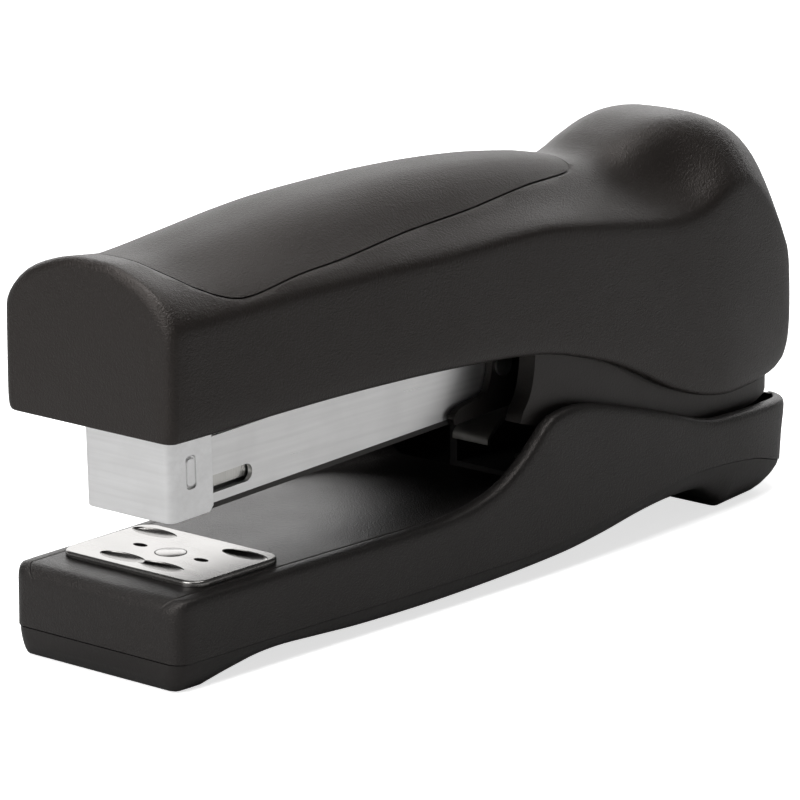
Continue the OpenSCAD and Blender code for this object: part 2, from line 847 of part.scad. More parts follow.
module handle_frame() color("#2a2928") {
    difference() {
        union() {
            difference() {
                intersection() {
                    from_nose()
                        linear_extrude(frame_top)
                            frame_outline(0);
                    from_nose()
                        across(big)
                            polygon(concat(
                                curve(frame_edge, frame_front, frame_back, 30),
                                [[frame_back + 1, pin_z + 1], [frame_back - 6, frame_top],
                                    [frame_front, frame_top]]
                            ));
                }
                from_nose(0, -1)
                    linear_extrude(frame_top + 2)
                        frame_outline(frame_wall);
            }
            // Top plate, with a post on each side down to the walls
            from_nose(3, plate_z)
                translate([0, -11, 0])
                    cube([pin_x - 8, 22, plate_t]);
            on_both_sides()
                from_nose(tip_x + 8, frame_top - 6)
                    translate([0, bracket_out + gap, 0])
                        cube([pin_x - tip_x - 13, frame_outer(pin_x) - bracket_out - gap,
                            plate_z - frame_top + 7]);
        }
        from_nose(pin_x, pin_z) {
            cross_pin(pin_r + running, big);
            cross_pin(eye_r + gap, 2 * (bracket_out + gap));
        }
        for (x = post_xs)
            from_nose(x)
                cylinder(r = 1.3 + running, h = big);
        for (sy = [-1, 1])
            from_nose(guide_front + 9)
                translate([0, 3.4 * sy, 0])
                    cylinder(r = 1 + running, h = big);
    }
}

module frame_screws() color("#8c8c8c") {
    for (x = post_xs)
        from_nose(x, plate_z - 1.4)
            screw(1.3, 2.4, plate_t + 4, 1.4);
}

driver_x = guide_sheet + 0.6;
driver_tip = rail_top + wire_t + 0.4;

module driver_blade() color("#c4c5c3") {
    difference() {
        union() {
            from_nose(guide_front + driver_x, guide_z + driver_tip)
                translate([0, -crown_w / 2 + 0.3, 0])
                    cube([driver_t, crown_w - 0.6, plate_z - guide_z - driver_tip]);
            from_nose(guide_front + driver_x, plate_z - driver_t)
                translate([0, 0.3 - crown_w / 2, 0])
                    cube([13, crown_w - 0.6, driver_t]);
        }
        for (sy = [-1, 1])
            from_nose(guide_front + 9)
                translate([0, 3.4 * sy, 0])
                    cylinder(r = 1 + running, h = big);
    }
}

module driver_rivets() color("#8f8f8f") {
    for (sy = [-1, 1])
        from_nose(guide_front + 9, plate_z - driver_t - 0.6)
            translate([0, 3.4 * sy, 0]) {
                cylinder(r = 1, h = plate_t + driver_t + 1.2);
                cylinder(r = 1.8, h = 0.6);
                translate([0, 0, plate_t + driver_t + 0.6])
                    cylinder(r = 1.8, h = 0.6);
            }
}

// Flat leaf under the top plate: its free end rests on the carrier's edge
module press_spring() color("#56554f") {
    leaf_t = 0.6;
    foot_x = tip_x + 12;
    foot_z = guide_z + (foot_x - guide_front) * tan(tilt) + channel_h + 0.3;
    root_x = foot_x - 40;
    leaf = [[root_x, plate_z - leaf_t / 2 - 0.05], [root_x + 8, plate_z - leaf_t / 2 - 0.5],
        [foot_x - 12, foot_z + 3.4], [foot_x, foot_z + leaf_t / 2], [foot_x + 5, foot_z + 1.6]];
    mid = curve(leaf, root_x, foot_x + 5, 30);
    from_nose()
        across(2 * carrier_out)
            polygon(concat(
                [for (p = mid) p + [0, leaf_t / 2]],
                [for (k = [len(mid) - 1:-1:0]) mid[k] - [0, leaf_t / 2]]
            ));
}

base_shell();
base_sole();
sole_screws();
hinge_bracket();
bracket_screws();
hinge_pin();
lift_spring();
anvil_plate();
anvil_rivet();
anvil_button();
anvil_spring();
magazine_channel();
bottom_strip();
nose_guide();
staple_rail();
staple_strip();
guide_rod();
rod_stop();
magazine_carrier();
carrier_rivets();
pusher();
pusher_spring();
handle_cover();
grip_panel();
handle_frame();
frame_screws();
driver_blade();
driver_rivets();
press_spring();
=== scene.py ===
import json
import math
import bpy
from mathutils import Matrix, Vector


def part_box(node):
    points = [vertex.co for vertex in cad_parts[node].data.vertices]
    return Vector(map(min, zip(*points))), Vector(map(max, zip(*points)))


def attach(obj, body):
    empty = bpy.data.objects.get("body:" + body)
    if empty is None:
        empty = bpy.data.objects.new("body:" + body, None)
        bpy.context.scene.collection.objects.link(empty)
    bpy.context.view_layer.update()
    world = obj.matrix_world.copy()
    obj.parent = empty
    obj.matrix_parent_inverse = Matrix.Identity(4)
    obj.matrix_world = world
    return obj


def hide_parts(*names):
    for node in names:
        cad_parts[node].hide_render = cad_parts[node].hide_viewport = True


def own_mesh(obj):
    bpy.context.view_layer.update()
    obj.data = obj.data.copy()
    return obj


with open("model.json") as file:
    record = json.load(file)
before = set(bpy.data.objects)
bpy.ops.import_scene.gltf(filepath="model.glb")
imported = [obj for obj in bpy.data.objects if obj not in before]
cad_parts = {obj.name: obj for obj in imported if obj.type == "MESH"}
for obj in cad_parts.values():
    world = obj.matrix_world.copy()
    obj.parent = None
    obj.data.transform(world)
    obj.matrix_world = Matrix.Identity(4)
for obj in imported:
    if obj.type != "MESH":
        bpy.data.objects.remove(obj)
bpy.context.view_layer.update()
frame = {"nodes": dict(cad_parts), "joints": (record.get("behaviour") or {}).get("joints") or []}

mm = 0.001
nodes = frame["nodes"]
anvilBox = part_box("anvil_plate")
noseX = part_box("handle_cover")[0].x
tilt = math.radians(2.05)  # the magazine rises towards its rear


def deselectAll():
    if bpy.context.object and bpy.context.object.mode != "OBJECT":
        bpy.ops.object.mode_set(mode="OBJECT")
    bpy.ops.object.select_all(action="DESELECT")


def makeActive(obj):
    deselectAll()
    obj.select_set(True)
    bpy.context.view_layer.objects.active = obj


def newPiece(name):
    obj = bpy.context.object
    obj.name = name
    obj.data.name = name
    return obj


def applyPlace(obj):
    makeActive(obj)
    bpy.ops.object.transform_apply(location=True, rotation=True, scale=True)


def applyModifiers(obj):
    makeActive(obj)
    for modifier in list(obj.modifiers):
        bpy.ops.object.modifier_apply(modifier=modifier.name)


def faceOutwards(obj):
    makeActive(obj)
    bpy.ops.object.mode_set(mode="EDIT")
    bpy.ops.mesh.select_all(action="SELECT")
    bpy.ops.mesh.remove_doubles(threshold=0.000004)
    bpy.ops.mesh.normals_make_consistent(inside=False)
    bpy.ops.object.mode_set(mode="OBJECT")


def pickEdges(obj, test):
    # selects the edges whose two ends pass the test, then opens edit mode
    makeActive(obj)
    bpy.ops.object.mode_set(mode="EDIT")
    bpy.ops.mesh.select_mode(type="EDGE")
    bpy.ops.mesh.select_all(action="DESELECT")
    bpy.ops.object.mode_set(mode="OBJECT")
    verts = obj.data.vertices
    for edge in obj.data.edges:
        edge.select = test(verts[edge.vertices[0]].co, verts[edge.vertices[1]].co)
    bpy.ops.object.mode_set(mode="EDIT")


def pickFaces(obj, test):
    makeActive(obj)
    bpy.ops.object.mode_set(mode="EDIT")
    bpy.ops.mesh.select_mode(type="FACE")
    bpy.ops.mesh.select_all(action="DESELECT")
    bpy.ops.object.mode_set(mode="OBJECT")
    for face in obj.data.polygons:
        face.select = test(face.center, face.normal)
    bpy.ops.object.mode_set(mode="EDIT")


def smooth(obj, degrees=35):
    makeActive(obj)
    bpy.ops.object.shade_smooth_by_angle(angle=math.radians(degrees))


def combine(obj, tool, how, keepTool=False):
    # boolean of two closed pieces, the tool is used up unless it is kept
    modifier = obj.modifiers.new("combine", "BOOLEAN")
    modifier.operation = how
    modifier.solver = "EXACT"
    modifier.object = tool
    makeActive(obj)
    bpy.ops.object.modifier_apply(modifier=modifier.name)
    if not keepTool:
        bpy.data.objects.remove(tool)


def evenShade(obj, degrees=30):
    # flat faces stay flat, only their small bevels turn the light
    smooth(obj, degrees)
    even = obj.modifiers.new("even", "WEIGHTED_NORMAL")
    even.keep_sharp = True
    even.weight = 100
    applyModifiers(obj)


def softenEdges(obj, width, segments=3, degrees=40):
    bevel = obj.modifiers.new("soften", "BEVEL")
    bevel.width = width
    bevel.segments = segments
    bevel.limit_method = "ANGLE"
    bevel.angle_limit = math.radians(degrees)
    applyModifiers(obj)


def addBlock(name, low, high):
    centre = [(a + b) / 2 for a, b in zip(low, high)]
    bpy.ops.mesh.primitive_cube_add(size=1, location=centre)
    obj = newPiece(name)
    obj.scale = [b - a for a, b in zip(low, high)]
    applyPlace(obj)
    return obj


def addRod(name, radius, low, high, axis="Z", sides=48):
    turned = {"Y": (math.pi / 2, 0, 0), "Z": (0, 0, 0)}[axis]
    centre = [(a + b) / 2 for a, b in zip(low, high)]
    length = max(b - a for a, b in zip(low, high))
    bpy.ops.mesh.primitive_cylinder_add(
        vertices=sides, radius=radius, depth=length, location=centre, rotation=turned
    )
    obj = newPiece(name)
    applyPlace(obj)
    return obj


def prism(name, outline, low, high):
    # outline of stations and heights in millimetres, drawn out across the width
    bpy.ops.mesh.primitive_circle_add(
        vertices=len(outline), radius=1, fill_type="NGON", rotation=(math.pi / 2, 0, 0)
    )
    obj = newPiece(name)
    applyPlace(obj)
    for vert, (s, z) in zip(obj.data.vertices, outline):
        vert.co = Vector((noseX + s * mm, low * mm, z * mm))
    bpy.ops.object.mode_set(mode="EDIT")
    bpy.ops.mesh.select_all(action="SELECT")
    bpy.ops.mesh.extrude_region_move(TRANSFORM_OT_translate={"value": (0, (high - low) * mm, 0)})
    bpy.ops.object.mode_set(mode="OBJECT")
    faceOutwards(obj)
    return obj


def throughPoints(points, steps):
    # smooth line through the points, as many steps between each two
    rows = [(k, *point) for k, point in enumerate(points)]
    count = (len(points) - 1) * steps
    return [tuple(rowAt(rows, k / steps)[1:]) for k in range(count + 1)]


def rowAt(rows, x):
    # smooth curve through rows of values, the first value of each is its station
    i = 0
    while i < len(rows) - 2 and x > rows[i + 1][0]:
        i += 1

    def slope(k):
        a = rows[max(k - 1, 0)]
        b = rows[min(k + 1, len(rows) - 1)]
        return [(q - p) / (b[0] - a[0]) for p, q in zip(a, b)]

    a, b = rows[i], rows[i + 1]
    h = b[0] - a[0]
    t = min(max((x - a[0]) / h, 0), 1)
    sa, sb = slope(i), slope(i + 1)
    t2, t3 = t * t, t * t * t
    return [
        (2 * t3 - 3 * t2 + 1) * p + (t3 - 2 * t2 + t) * h * dp
        + (3 * t2 - 2 * t3) * q + (t3 - t2) * h * dq
        for p, q, dp, dq in zip(a, b, sa, sb)
    ]


def roundEnd(x, r):
    return 0 if x >= r else r - math.sqrt(max(r * r - (r - x) ** 2, 0))


def splinePoint(points, t):
    # cubic B-spline that starts and ends on its first and last point
    padded = [points[0]] * 2 + list(points) + [points[-1]] * 2
    spans = len(padded) - 3
    u = min(t * spans, spans - 1e-6)
    i = int(u)
    f = u - i
    weights = ((1 - f) ** 3, 3 * f ** 3 - 6 * f * f + 4, -3 * f ** 3 + 3 * f * f + 3 * f + 1, f ** 3)
    return [sum(w * padded[i + k][axis] for k, w in enumerate(weights)) / 6 for axis in (0, 1)]


def loft(name, stations, section, count):
    # a filled ring is drawn out station by station, then each ring takes its own section
    bpy.ops.mesh.primitive_circle_add(
        vertices=count, radius=1, fill_type="NGON", rotation=(0, math.pi / 2, 0)
    )
    obj = newPiece(name)
    applyPlace(obj)
    bpy.ops.object.mode_set(mode="EDIT")
    bpy.ops.mesh.select_all(action="SELECT")
    for _ in stations[1:]:
        bpy.ops.mesh.extrude_region_move(TRANSFORM_OT_translate={"value": (1, 0, 0)})
    bpy.ops.object.mode_set(mode="OBJECT")
    rings = [section(s) for s in stations]
    for vert in obj.data.vertices:
        k = round(vert.co.x)
        turn = math.atan2(vert.co.y, -vert.co.z) / math.tau
        j = round((turn % 1.0) * count) % count
        y, z = rings[k][j]
        vert.co = Vector((noseX + stations[k] * mm, y * mm, z * mm))
    faceOutwards(obj)
    return obj


def stationList(start, end, frontRound, rearRound, step):
    quarter = [math.radians(a) for a in (0, 12, 25, 38, 52, 66, 80)]
    front = [start + frontRound * (1 - math.cos(a)) for a in quarter] if frontRound else [start]
    rear = [end - rearRound * (1 - math.cos(a)) for a in reversed(quarter)] if rearRound else [end]
    count = max(int((rear[0] - front[-1]) / step), 2)
    middle = [front[-1] + (rear[0] - front[-1]) * k / count for k in range(1, count)]
    return front + middle + rear


def nodeGroup(name, inputs, outputs):
    group = bpy.data.node_groups.new(name, "ShaderNodeTree")
    for label, kind, value in inputs:
        socket = group.interface.new_socket(name=label, in_out="INPUT", socket_type=kind)
        socket.default_value = value
    for label, kind in outputs:
        group.interface.new_socket(name=label, in_out="OUTPUT", socket_type=kind)
    return group, group.nodes.new("NodeGroupInput"), group.nodes.new("NodeGroupOutput")


def makeGrain():
    # moulded spark grain: fine cells over a softer unevenness
    group, given, out = nodeGroup(
        "mouldGrain",
        [("Scale", "NodeSocketFloat", 2400.0), ("Unevenness", "NodeSocketFloat", 0.15)],
        [("Height", "NodeSocketFloat"), ("Mask", "NodeSocketFloat")],
    )
    add, link = group.nodes.new, group.links.new
    place = add("ShaderNodeTexCoord")
    fine = add("ShaderNodeTexNoise")
    fine.inputs["Detail"].default_value = 2.0
    fine.inputs["Roughness"].default_value = 0.6
    cells = add("ShaderNodeTexVoronoi")
    cells.feature = "SMOOTH_F1"
    broad = add("ShaderNodeTexNoise")
    broad.inputs["Scale"].default_value = 90.0
    broad.inputs["Detail"].default_value = 3.0
    half = add("ShaderNodeMath")
    half.operation = "MULTIPLY"
    half.inputs[1].default_value = 0.62
    mix = add("ShaderNodeMath")
    mix.operation = "MULTIPLY_ADD"
    mix.inputs[1].default_value = 0.55
    uneven = add("ShaderNodeMath")
    uneven.operation = "MULTIPLY_ADD"
    link(place.outputs["Object"], fine.inputs["Vector"])
    link(place.outputs["Object"], cells.inputs["Vector"])
    link(place.outputs["Object"], broad.inputs["Vector"])
    link(given.outputs["Scale"], fine.inputs["Scale"])
    link(given.outputs["Scale"], half.inputs[0])
    link(half.outputs[0], cells.inputs["Scale"])
    link(cells.outputs["Distance"], mix.inputs[0])
    link(fine.outputs["Fac"], mix.inputs[2])
    link(broad.outputs["Fac"], uneven.inputs[0])
    link(given.outputs["Unevenness"], uneven.inputs[1])
    link(mix.outputs[0], uneven.inputs[2])
    link(uneven.outputs[0], out.inputs["Height"])
    link(broad.outputs["Fac"], out.inputs["Mask"])
    return group


def makeWear():
    # convex edges, broken up by a noise
    group, given, out = nodeGroup(
        "edgeWear",
        [("Start", "NodeSocketFloat", 0.55), ("End", "NodeSocketFloat", 0.8)],
        [("Mask", "NodeSocketFloat")],
    )
    add, link = group.nodes.new, group.links.new
    geometry = add("ShaderNodeNewGeometry")
    place = add("ShaderNodeTexCoord")
    noise = add("ShaderNodeTexNoise")
    noise.inputs["Scale"].default_value = 420.0
    noise.inputs["Detail"].default_value = 4.0
    span = add("ShaderNodeMapRange")
    times = add("ShaderNodeMath")
    times.operation = "MULTIPLY"
    link(geometry.outputs["Pointiness"], span.inputs["Value"])
    link(given.outputs["Start"], span.inputs["From Min"])
    link(given.outputs["End"], span.inputs["From Max"])
    link(place.outputs["Object"], noise.inputs["Vector"])
    link(span.outputs["Result"], times.inputs[0])
    link(noise.outputs["Fac"], times.inputs[1])
    link(times.outputs[0], out.inputs["Mask"])
    return group


def makeBrushed():
    # long fine lines along one direction, and faint handling marks
    group, given, out = nodeGroup(
        "brushedLines",
        [("Stretch", "NodeSocketVector", (30.0, 1400.0, 1400.0)), ("Marks", "NodeSocketFloat", 0.5)],
        [("Height", "NodeSocketFloat"), ("Mask", "NodeSocketFloat"), ("Smudge", "NodeSocketFloat")],
    )
    add, link = group.nodes.new, group.links.new
    place = add("ShaderNodeTexCoord")
    stretch = add("ShaderNodeVectorMath")
    stretch.operation = "MULTIPLY"
    lines = add("ShaderNodeTexNoise")
    lines.inputs["Scale"].default_value = 1.0
    lines.inputs["Detail"].default_value = 4.0
    smudge = add("ShaderNodeTexNoise")
    smudge.inputs["Scale"].default_value = 160.0
    smudge.inputs["Detail"].default_value = 5.0
    sharpen = add("ShaderNodeMapRange")
    sharpen.inputs["From Min"].default_value = 0.45
    sharpen.inputs["From Max"].default_value = 0.75
    marks = add("ShaderNodeMath")
    marks.operation = "MULTIPLY"
    link(place.outputs["Object"], stretch.inputs[0])
    link(given.outputs["Stretch"], stretch.inputs[1])
    link(stretch.outputs[0], lines.inputs["Vector"])
    link(place.outputs["Object"], smudge.inputs["Vector"])
    link(smudge.outputs["Fac"], sharpen.inputs["Value"])
    link(sharpen.outputs["Result"], marks.inputs[0])
    link(given.outputs["Marks"], marks.inputs[1])
    link(lines.outputs["Fac"], out.inputs["Height"])
    link(lines.outputs["Fac"], out.inputs["Mask"])
    link(marks.outputs[0], out.inputs["Smudge"])
    return group


grainGroup = makeGrain()
wearGroup = makeWear()
brushedGroup = makeBrushed()


def startMaterial(name, specular, metallic=0.0):
    material = bpy.data.materials.new(name)
    material.use_nodes = True
    shader = material.node_tree.nodes["Principled BSDF"]
    shader.inputs["Specular IOR Level"].default_value = specular
    shader.inputs["Metallic"].default_value = metallic
    if not metallic:
        shader.inputs["Specular Tint"].default_value = (1.0, 0.93, 0.89, 1)
    return material, shader, material.node_tree.nodes.new, material.node_tree.links.new


def useGroup(add, group, **values):
    node = add("ShaderNodeGroup")
    node.node_tree = group
    for label, value in values.items():
        node.inputs[label].default_value = value
    return node


def spread(add, link, source, low, high, target):
    # a mask from 0 to 1 becomes a value from low to high
    node = add("ShaderNodeMapRange")
    node.inputs["To Min"].default_value = low
    node.inputs["To Max"].default_value = high
    link(source, node.inputs["Value"])
    link(node.outputs["Result"], target)


def plastic(name, colour, worn, roughness, scale, depth, specular=0.5):
    material, shader, add, link = startMaterial(name, specular)
    grain = useGroup(add, grainGroup, Scale=scale)
    wear = useGroup(add, wearGroup)
    mottled = add("ShaderNodeMix")
    mottled.data_type = "RGBA"
    mottled.inputs["A"].default_value = (*[c * 0.86 for c in colour], 1)
    mottled.inputs["B"].default_value = (*[c * 1.14 for c in colour], 1)
    link(grain.outputs["Mask"], mottled.inputs["Factor"])
    edged = add("ShaderNodeMix")
    edged.data_type = "RGBA"
    edged.inputs["B"].default_value = (*worn, 1)
    link(mottled.outputs["Result"], edged.inputs["A"])
    link(wear.outputs["Mask"], edged.inputs["Factor"])
    link(edged.outputs["Result"], shader.inputs["Base Color"])
    dull = shader.inputs["Roughness"]
    spread(add, link, grain.outputs["Mask"], roughness - 0.05, roughness + 0.06, dull)
    bump = add("ShaderNodeBump")
    bump.inputs["Strength"].default_value = 1.0
    bump.inputs["Distance"].default_value = depth
    link(grain.outputs["Height"], bump.inputs["Height"])
    link(bump.outputs["Normal"], shader.inputs["Normal"])
    return material


def steel(name, colour, roughness, stretch, depth=0.0000015, marks=0.5):
    material, shader, add, link = startMaterial(name, 0.5, 1.0)
    lines = useGroup(add, brushedGroup, Stretch=stretch, Marks=marks)
    drawn = add("ShaderNodeMix")
    drawn.data_type = "RGBA"
    drawn.inputs["A"].default_value = (*[c * 0.84 for c in colour], 1)
    drawn.inputs["B"].default_value = (*[min(c * 1.14, 1) for c in colour], 1)
    link(lines.outputs["Mask"], drawn.inputs["Factor"])
    handled = add("ShaderNodeMix")
    handled.data_type = "RGBA"
    handled.inputs["B"].default_value = (*[c * 0.72 for c in colour], 1)
    link(lines.outputs["Smudge"], handled.inputs["Factor"])
    link(drawn.outputs["Result"], handled.inputs["A"])
    link(handled.outputs["Result"], shader.inputs["Base Color"])
    dull = shader.inputs["Roughness"]
    spread(add, link, lines.outputs["Mask"], roughness - 0.06, roughness + 0.08, dull)
    bump = add("ShaderNodeBump")
    bump.inputs["Strength"].default_value = 1.0
    bump.inputs["Distance"].default_value = depth
    link(lines.outputs["Height"], bump.inputs["Height"])
    link(bump.outputs["Normal"], shader.inputs["Normal"])
    return material


finishes = {
    "cover": plastic("coverPlastic", (0.0085, 0.0064, 0.0054), (0.022, 0.02, 0.018), 0.42, 4600, 0.00009),
    "grip": plastic("gripRubber", (0.011, 0.0088, 0.0076), (0.022, 0.02, 0.018), 0.49, 4300, 0.0001),
    "base": plastic("basePlastic", (0.0075, 0.0068, 0.0066), (0.022, 0.021, 0.02), 0.42, 4600, 0.00009),
    "sole": plastic("soleRubber", (0.0065, 0.0062, 0.0062), (0.018, 0.018, 0.018), 0.5, 2400, 0.00004),
    "frame": plastic("framePlastic", (0.007, 0.006, 0.0054), (0.018, 0.018, 0.018), 0.42, 3600, 0.00003),
    # near-black steel: partly a black finish, partly painted shade, since the strip under the magazine
    # and the hinge bracket sit in shadow
    "dark": plastic("blackPaintAndShade", (0.011, 0.011, 0.011), (0.05, 0.05, 0.05), 0.4, 900, 0.00001),
    "satin": steel("satinSteel", (0.84, 0.835, 0.83), 0.3, (40.0, 1500.0, 1500.0), 0.0000015, 0.3),
    "guide": steel("guideSteel", (0.95, 0.945, 0.94), 0.32, (1200.0, 60.0, 1500.0), 0.000002, 0.3),
    "nickel": steel("brightNickel", (0.3, 0.29, 0.28), 0.25, (500.0, 90.0, 500.0), 0.0000008, 0.35),
    "spring": steel("springSteel", (0.34, 0.33, 0.31), 0.5, (60.0, 900.0, 900.0)),
    "screw": steel("zincSteel", (0.42, 0.42, 0.41), 0.33, (300.0, 300.0, 300.0)),
    "wire": steel("stapleWire", (0.68, 0.67, 0.64), 0.28, (2600.0, 40.0, 40.0), 0.00001),
}


def finish(obj, kind, body):
    obj.data.materials.clear()
    obj.data.materials.append(finishes[kind])
    if body:
        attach(obj, body)


handle = {
    "length": 150.0,
    "count": 61,
    "step": 2.2,
    "noseRound": 1.7,
    "heelRound": 6.0,
    "lean": 3.4,
    "leanOver": 10,
    "leanFoot": 23,
    "leanRise": 22,
    "wall": 2.0,
    "panel": 1.2,
    "seam": 0.24,
    # station, underside, half width, shoulder height, ledge y and z, dome edge y and z, crown
    "ribs": [
        (0, 36.0, 16.3, 53.0, 12.8, 57.2, 8.0, 59.1, 60.3),
        (6, 36.1, 16.55, 53.0, 12.7, 56.6, 7.8, 58.3, 59.6),
        (12, 36.2, 16.7, 53.2, 12.7, 56.3, 8.0, 57.9, 59.1),
        (25, 36.4, 16.9, 53.5, 12.9, 56.6, 8.5, 59.3, 60.6),
        (40, 36.4, 17.2, 53.6, 13.0, 56.6, 9.0, 60.6, 62.1),
        (60, 35.8, 17.6, 53.6, 12.6, 56.2, 9.0, 60.6, 62.7),
        (80, 34.0, 17.6, 53.8, 12.0, 55.8, 8.6, 59.6, 61.9),
        (95, 30.0, 17.5, 51.8, 11.2, 55.2, 8.0, 58.0, 60.0),
        (104, 26.2, 17.3, 50.4, 10.6, 54.0, 7.8, 56.8, 58.2),
        (108, 24.2, 17.2, 49.8, 10.6, 53.3, 8.0, 57.2, 58.5),
        (112, 22.4, 17.1, 49.4, 10.7, 53.0, 8.3, 58.8, 60.0),
        (119, 20.0, 16.9, 49.8, 11.0, 53.6, 8.6, 61.0, 61.7),
        (126, 18.7, 16.6, 52.2, 12.2, 56.6, 8.8, 61.3, 61.8),
        (132, 18.5, 15.9, 52.2, 12.0, 57.6, 8.4, 60.3, 60.9),
        (138, 18.7, 15.0, 47.4, 11.2, 54.3, 7.8, 57.3, 58.1),
        (144, 19.4, 13.9, 40.6, 9.8, 47.8, 6.6, 52.2, 53.8),
        (150, 22.6, 13.0, 34.5, 8.2, 38.4, 5.0, 41.0, 42.0),
    ],
    # station, how far the lower edge stands in from the side
    "hem": [(0, 0.0), (118, 0.0), (130, 0.3), (138, 0.7), (144, 1.2), (150, 1.8)],
    # seam of the grip panel, seen from the side
    "seamLine": [(4.6, 61.2), (8, 57.2), (11, 55.3), (14, 54.3), (17.5, 54.1), (28, 55.1), (38, 55.6),
                 (53, 56.6), (68, 57.1), (84, 57.8), (96, 57.6), (98, 57.8), (99.2, 58.4), (99.8, 59.4)],
    # how far the panel's zone reaches over the cover
    "over": 90,
}


def handleSection(s, inset, drop):
    _, under, half, shoulder, ledgeY, ledgeZ, domeY, domeZ, crown = rowAt(handle["ribs"], s)
    pulled = roundEnd(s, handle["noseRound"]) + roundEnd(handle["length"] - s, handle["heelRound"])
    shrink = (half - pulled - inset) / half
    lower = pulled + inset
    hem = rowAt(handle["hem"], s)[1]
    low = under - drop + (0 if drop else 0.2 * pulled)
    tall = shoulder - under
    side = [(half - 1.9 - hem, low), (half - 0.5 - hem, low), (half - 0.6 * hem, low + 1.0),
            (half - 0.1 * hem, under + 0.34 * tall), (half, under + 0.67 * tall),
            (half, shoulder - 1.6), (half - 0.1, shoulder), (ledgeY, ledgeZ),
            (domeY, domeZ), (domeY * 0.5, crown)]
    share = (0, 0, 0, 0, 0.5, 0.9, 1, 1, 1, 1)
    side = [(y * shrink, z - lower * part) for part, (y, z) in zip(share, side)]
    for k in range(3, len(side)):
        side[k] = (side[k][0], max(side[k][1], side[k - 1][1] + 0.05))
    points = side + [(0, max(crown - lower, side[-1][1]))] + [(-y, z) for y, z in reversed(side)]
    last = handle["count"] - 1
    return [splinePoint(points, k / last) for k in range(last + 1)]


def handleBody(name, inset, drop):
    noseRound, heelRound = handle["noseRound"], handle["heelRound"]
    stations = stationList(inset, handle["length"] - inset, noseRound, heelRound, handle["step"])
    body = loft(name, stations, lambda s: handleSection(s, inset, drop), handle["count"])
    # the heel leans forward towards the top
    reach = handle["leanOver"]
    foot, rise = handle["leanFoot"], handle["leanRise"]
    first = handle["length"] - reach
    for vert in body.data.vertices:
        along = (vert.co.x - noseX) / mm - first
        if along > 0:
            up = min(max(vert.co.z / mm - foot, 0) / rise, 1)
            vert.co.x -= handle["lean"] * mm * up * (along / reach) ** 2
    return body


def panelZone(name, shrink):
    # prism over the whole width, everything above the seam
    first, last = handle["seamLine"][0][0], handle["seamLine"][-1][0]
    line = []
    for k in range(61):
        s = first + (last - first) * (1 - (1 - k / 60) ** 1.4)
        line.append((s, rowAt(handle["seamLine"], s)[1] + shrink))
    outline = line + [(last + 0.1 - shrink, handle["over"]), (first + shrink, handle["over"])]
    return prism(name, outline, -40, 40)


def buildHandle():
    cover = handleBody("handleCover", 0.0, 0.0)
    combine(cover, handleBody("hollow", handle["wall"], 9.0), "DIFFERENCE")
    recess = panelZone("recess", 0.0)
    combine(recess, handleBody("under", handle["panel"] + 0.1, 8.0), "DIFFERENCE")
    combine(cover, recess, "DIFFERENCE")
    panel = handleBody("gripPanel", 0.0, 0.0)
    combine(panel, handleBody("under", handle["panel"], 8.0), "DIFFERENCE")
    combine(panel, panelZone("zone", handle["seam"]), "INTERSECT")
    for obj in (cover, panel):
        faceOutwards(obj)
        smooth(obj, 48)
    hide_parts("handle_cover")
    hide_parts("grip_panel")
    finish(cover, "cover", "handle")
    finish(panel, "grip", "handle")
    print("handle built")


base = {
    "front": 1.0,
    "end": 148.3,
    "deck": 13.5,
    "well": 9.5,
    "wellFrom": 81.4,
    "corner": 2.3,
    "tail": 7.0,
    "lean": 3.6,
    "rim": 2.2,
    "count": 101,
    "step": 1.9,
    # station, half width
    "plan": [(1, 16.3), (12.8, 16.5), (26, 16.8), (50, 17.6), (75, 18.1), (92, 18.2), (113, 17.9),
             (128, 17.2), (138, 15.8), (148.5, 13.0)],
    # station, height of the rim
    "wing": [(40, 13.5), (50, 13.5), (57, 13.7), (63, 14.4), (68, 15.7), (72, 17.6), (76.5, 20.8),
             (79, 23.2), (82, 24.7), (88, 25.0), (95, 23.6), (110, 19.3), (120, 16.2), (128, 15.5),
             (140, 14.8), (148.5, 14.0)],
    # station, height of the line between shell and sole
    "seam": [(1, 4.3), (75, 4.3), (84, 4.9), (95, 6.3), (105, 7.5), (118, 8.5), (132, 7.4), (142, 5.0),
             (148.5, 4.6)],
    # station, height of the sole's underside
    "sole": [(1, 1.9), (1.5, 0.5), (2.2, 0.0), (6.5, 0.0), (9.5, 0.6), (14, 1.4), (18, 2.0), (23, 2.2),
             (30, 1.9), (40, 1.5), (60, 1.5), (84, 2.4), (94, 3.4), (104, 4.8), (112, 5.3), (120, 4.6),
             (125.0, 1.6), (127.0, 0.0), (137.0, 0.0), (142.0, 1.2), (148.5, 4.2)],
    # station, how far the sole's bottom stands in from its side
    "tuck": [(1, 1.7), (20, 1.5), (60, 1.4), (100, 1.6), (118, 2.2), (127, 4.0), (137, 4.4),
             (148.5, 4.0)],
    # the rear wall's foot and how long it rises
    "rearWall": 3.6,
    "rearRise": 0.9,
    # the rear face leans over this length, down to this height
    "leanOver": 10.5,
    "leanFoot": 4.6,
    # radius and upper end of each hole
    "buttonHole": (4.6, 8.5),
    "postHole": (1.66, 20.0),
    "soleHole": (4.9, 12.0),
    "screwHole": (2.6, 3.1),
    # stations of the sole's screws, and those that keep the feet's edges crisp
    "screws": (35.0, 87.0),
    "footEdges": [124.5, 127.0, 127.6, 141.0],
}


def baseHalf(s):
    pulled = roundEnd(s - base["front"], base["corner"]) + roundEnd(base["end"] - s, base["tail"])
    return rowAt(base["plan"], s)[1] - pulled


